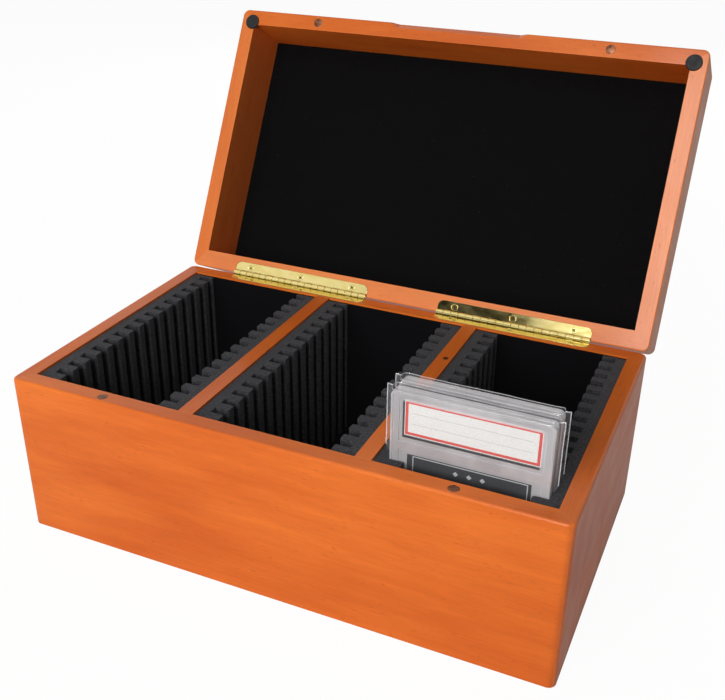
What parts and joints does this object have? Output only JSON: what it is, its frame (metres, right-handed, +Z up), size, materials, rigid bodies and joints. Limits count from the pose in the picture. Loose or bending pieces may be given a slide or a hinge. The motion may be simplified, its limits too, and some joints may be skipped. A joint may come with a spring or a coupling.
{
  "type": "trading card display case",
  "caption": "Lidded wooden box with slotted foam rails in three compartments for card holders, with a felt lining, a pair of long brass hinges and a magnetic catch.",
  "frame": {"origin": "middle of the underside, on the surface that the case stands on", "axes": "+X along the case to the right as seen from its front, -Y its front, +Z up"},
  "size_m": [0.325, 0.3131, 0.2666],
  "materials": {
    "lacquered_wood": "red-brown stain under gloss lacquer",
    "panel_wood": "stained board, unlacquered",
    "felt": "short black felt",
    "foam": "closed-cell charcoal foam, cut faces",
    "brass": "polished, lacquered",
    "nickel": "nickel plated",
    "rubber": "matte black, self-adhesive pads",
    "clear_plastic": "clear moulded acrylic",
    "card_print": null,
    "label_paper": "printed paper with a red border, no text"
  },
  "bodies": {
    "case": {"body_front_panel": "lacquered_wood", "body_right_panel": "lacquered_wood", "body_back_panel": "lacquered_wood", "body_left_panel": "lacquered_wood", "body_bottom_panel": "panel_wood", "divider_1": "lacquered_wood", "divider_2": "lacquered_wood", "base_felt": "felt", "liner_1": "felt", "foam_rail_1_left": "foam", "foam_rail_1_right": "foam", "liner_2": "felt", "foam_rail_2_left": "foam", "foam_rail_2_right": "foam", "liner_3": "felt", "foam_rail_3_left": "foam", "foam_rail_3_right": "foam", "body_magnets": "nickel", "hinge_left_body_leaf": "brass", "hinge_left_body_screws": "brass", "hinge_left_pin": "brass", "hinge_right_body_leaf": "brass", "hinge_right_body_screws": "brass", "hinge_right_pin": "brass", "slab_1_front_shell": "clear_plastic", "slab_1_back_shell": "clear_plastic", "slab_1_card": "card_print", "slab_1_label": "label_paper", "slab_2_front_shell": "clear_plastic", "slab_2_back_shell": "clear_plastic", "slab_2_card": "card_print", "slab_2_label": "label_paper"},
    "lid": {"hinge_left_lid_leaf": "brass", "hinge_left_lid_screws": "brass", "hinge_right_lid_leaf": "brass", "hinge_right_lid_screws": "brass", "lid_front_rail": "lacquered_wood", "lid_right_rail": "lacquered_wood", "lid_back_rail": "lacquered_wood", "lid_left_rail": "lacquered_wood", "lid_top_panel": "lacquered_wood", "lid_liner": "felt", "lid_bumpers": "rubber", "lid_magnets": "nickel"}
  },
  "joints": [
    {"name": "lid_hinge", "type": "hinge", "parent": "case", "child": "lid", "pos_m": [0, 0.0935, 0.1021], "axis": [1, 0, 0], "range_deg": [0, 118]}
  ]
}
